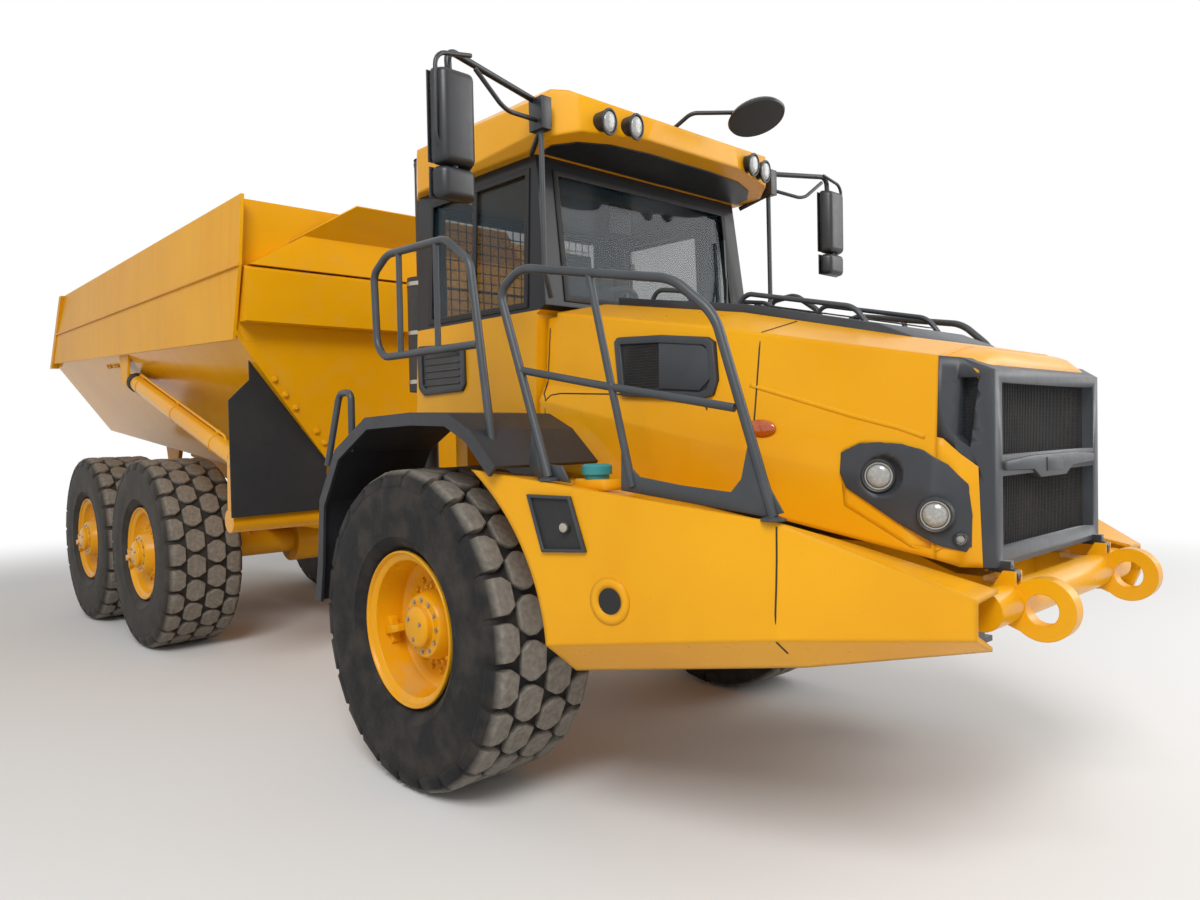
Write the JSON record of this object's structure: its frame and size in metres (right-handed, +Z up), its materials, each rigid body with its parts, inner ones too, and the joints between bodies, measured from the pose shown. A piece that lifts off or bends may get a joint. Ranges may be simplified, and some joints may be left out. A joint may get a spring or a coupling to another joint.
{
  "type": "articulated dump truck",
  "caption": "Articulated dump truck: a front unit with bonnet and cab, steered by a hitch, pulls a rear unit on a walking-beam bogie with a tipping bin.",
  "frame": {"origin": "on the ground, in the middle of the machine's length and width", "axes": "+X forward, +Y to the driver's left, +Z up"},
  "size_m": [10.0839, 3.22, 3.44],
  "materials": {
    "yellow_paint": "gloss",
    "yellow_panel": "gloss",
    "yellow_casting": "satin",
    "engine_casting": "satin",
    "glass": "gloss",
    "black_plastic": "satin",
    "black_paint": "satin",
    "black_rubber": "matt",
    "chrome_rod": "polished",
    "lamp": "gloss",
    "tyre_rubber": "matt",
    "yellow_rim": "satin"
  },
  "bodies": {
    "front_frame": {"front_chassis": "yellow_paint", "hitch_yoke": "yellow_paint", "steer_brackets": "yellow_paint", "cab_posts": "yellow_paint", "panel_arms": "yellow_paint", "front_bumper": "yellow_paint", "front_axle": "yellow_casting", "engine_block": "engine_casting", "cab_shell": "yellow_paint", "cab_roof": "yellow_panel", "cab_glass": "glass", "cab_interior": "black_plastic", "side_panel_left": "yellow_paint", "side_panel_right": "yellow_paint", "fenders": "black_plastic", "handrails": "black_paint", "mirrors": "black_plastic", "roof_lamps": "lamp", "entry_steps": "black_paint", "exhaust_stack": "black_paint"},
    "bonnet": {"bonnet": "yellow_panel", "grille": "black_plastic", "grille_mesh": "black_plastic", "headlamps": "black_plastic", "side_vents": "black_plastic"},
    "cab_door": {"cab_door": "black_paint", "door_glass": "glass"},
    "hitch": {"hitch": "yellow_paint"},
    "rear_frame": {"rear_frame": "yellow_paint", "middle_axle": "yellow_casting", "rear_axle": "yellow_casting", "bogie_beams": "yellow_paint", "tail_lamps": "lamp"},
    "bin": {"bin": "yellow_paint", "mud_flaps": "black_rubber"},
    "steer_barrel_left": {"steer_barrel_left": "yellow_casting"},
    "steer_rod_left": {"steer_rod_left": "chrome_rod"},
    "hoist_barrel_left": {"hoist_barrel_left": "yellow_casting"},
    "hoist_rod_left": {"hoist_rod_left": "chrome_rod"},
    "steer_barrel_right": {"steer_barrel_right": "yellow_casting"},
    "steer_rod_right": {"steer_rod_right": "chrome_rod"},
    "hoist_barrel_right": {"hoist_barrel_right": "yellow_casting"},
    "hoist_rod_right": {"hoist_rod_right": "chrome_rod"},
    "wheel_front_left": {"tyre_front_left": "tyre_rubber", "rim_front_left": "yellow_rim"},
    "wheel_front_right": {"tyre_front_right": "tyre_rubber", "rim_front_right": "yellow_rim"},
    "wheel_middle_left": {"tyre_middle_left": "tyre_rubber", "rim_middle_left": "yellow_rim"},
    "wheel_middle_right": {"tyre_middle_right": "tyre_rubber", "rim_middle_right": "yellow_rim"},
    "wheel_rear_left": {"tyre_rear_left": "tyre_rubber", "rim_rear_left": "yellow_rim"},
    "wheel_rear_right": {"tyre_rear_right": "tyre_rubber", "rim_rear_right": "yellow_rim"}
  },
  "joints": [
    {"name": "steering", "type": "hinge", "parent": "front_frame", "child": "hitch", "pos_m": [0.746, 0, 0.95], "axis": [0, 0, 1], "range_deg": [-42, 42]},
    {"name": "oscillation", "type": "hinge", "parent": "hitch", "child": "rear_frame", "pos_m": [0.746, 0, 0.95], "axis": [-1, 0, 0], "range_deg": [-15, 15]},
    {"name": "bin_tip", "type": "hinge", "parent": "rear_frame", "child": "bin", "pos_m": [-3.946, 0, 1.33], "axis": [0, -1, 0], "range_deg": [0, 70]},
    {"name": "bonnet_tilt", "type": "hinge", "parent": "front_frame", "child": "bonnet", "pos_m": [4.823, 0, 1.199], "axis": [0, 1, 0], "range_deg": [0, 70]},
    {"name": "door_swing", "type": "hinge", "parent": "front_frame", "child": "cab_door", "pos_m": [1.566, 0.888, 2.5], "axis": [0, 0, 1], "range_deg": [0, 95]},
    {"name": "steer_barrel_left_swing", "type": "hinge", "parent": "front_frame", "child": "steer_barrel_left", "pos_m": [1.726, 0.5, 0.95], "axis": [0, 0, 1], "range_deg": [-1.46, 1.46]},
    {"name": "steer_rod_left_slide", "type": "slide", "parent": "steer_barrel_left", "child": "steer_rod_left", "axis": [-0.982, -0.1888, 0], "range_m": [-0.2137, 0.2137]},
    {"name": "hoist_barrel_left_swing", "type": "hinge", "parent": "rear_frame", "child": "hoist_barrel_left", "pos_m": [0.004, 1.32, 1.575], "axis": [0, -1, 0], "range_deg": [-4.02, 0.5]},
    {"name": "hoist_rod_left_slide", "type": "slide", "parent": "hoist_barrel_left", "child": "hoist_rod_left", "axis": [-0.9602, 0, 0.2792], "range_m": [-0.002, 2.081]},
    {"name": "steer_barrel_right_swing", "type": "hinge", "parent": "front_frame", "child": "steer_barrel_right", "pos_m": [1.726, -0.5, 0.95], "axis": [0, 0, 1], "range_deg": [-1.46, 1.46]},
    {"name": "steer_rod_right_slide", "type": "slide", "parent": "steer_barrel_right", "child": "steer_rod_right", "axis": [-0.982, 0.1888, 0], "range_m": [-0.2137, 0.2137]},
    {"name": "hoist_barrel_right_swing", "type": "hinge", "parent": "rear_frame", "child": "hoist_barrel_right", "pos_m": [0.004, -1.32, 1.575], "axis": [0, -1, 0], "range_deg": [-4.02, 0.5]},
    {"name": "hoist_rod_right_slide", "type": "slide", "parent": "hoist_barrel_right", "child": "hoist_rod_right", "axis": [-0.9602, 0, 0.2792], "range_m": [-0.002, 2.081]},
    {"name": "wheel_front_left_spin", "type": "hinge", "parent": "front_frame", "child": "wheel_front_left", "pos_m": [2.304, 1.178, 0.785], "axis": [0, 1, 0], "continuous": true},
    {"name": "wheel_front_right_spin", "type": "hinge", "parent": "front_frame", "child": "wheel_front_right", "pos_m": [2.304, -1.178, 0.785], "axis": [0, 1, 0], "continuous": true},
    {"name": "wheel_middle_left_spin", "type": "hinge", "parent": "rear_frame", "child": "wheel_middle_left", "pos_m": [-1.877, 1.178, 0.785], "axis": [0, 1, 0], "continuous": true},
    {"name": "wheel_middle_right_spin", "type": "hinge", "parent": "rear_frame", "child": "wheel_middle_right", "pos_m": [-1.877, -1.178, 0.785], "axis": [0, 1, 0], "continuous": true},
    {"name": "wheel_rear_left_spin", "type": "hinge", "parent": "rear_frame", "child": "wheel_rear_left", "pos_m": [-3.547, 1.178, 0.785], "axis": [0, 1, 0], "continuous": true},
    {"name": "wheel_rear_right_spin", "type": "hinge", "parent": "rear_frame", "child": "wheel_rear_right", "pos_m": [-3.547, -1.178, 0.785], "axis": [0, 1, 0], "continuous": true}
  ],
  "couplings": [
    {"joint": "steer_barrel_left_swing", "follows": "steering", "ratio": -0.011029},
    {"joint": "steer_rod_left_slide", "follows": "steering", "m_per_rad": 0.28874},
    {"joint": "hoist_barrel_left_swing", "follows": "bin_tip", "ratio": -0.050284},
    {"joint": "hoist_rod_left_slide", "follows": "bin_tip", "m_per_rad": 1.7017},
    {"joint": "steer_barrel_right_swing", "follows": "steering", "ratio": -0.011029},
    {"joint": "steer_rod_right_slide", "follows": "steering", "m_per_rad": -0.28874},
    {"joint": "hoist_barrel_right_swing", "follows": "bin_tip", "ratio": -0.050284},
    {"joint": "hoist_rod_right_slide", "follows": "bin_tip", "m_per_rad": 1.7017}
  ]
}
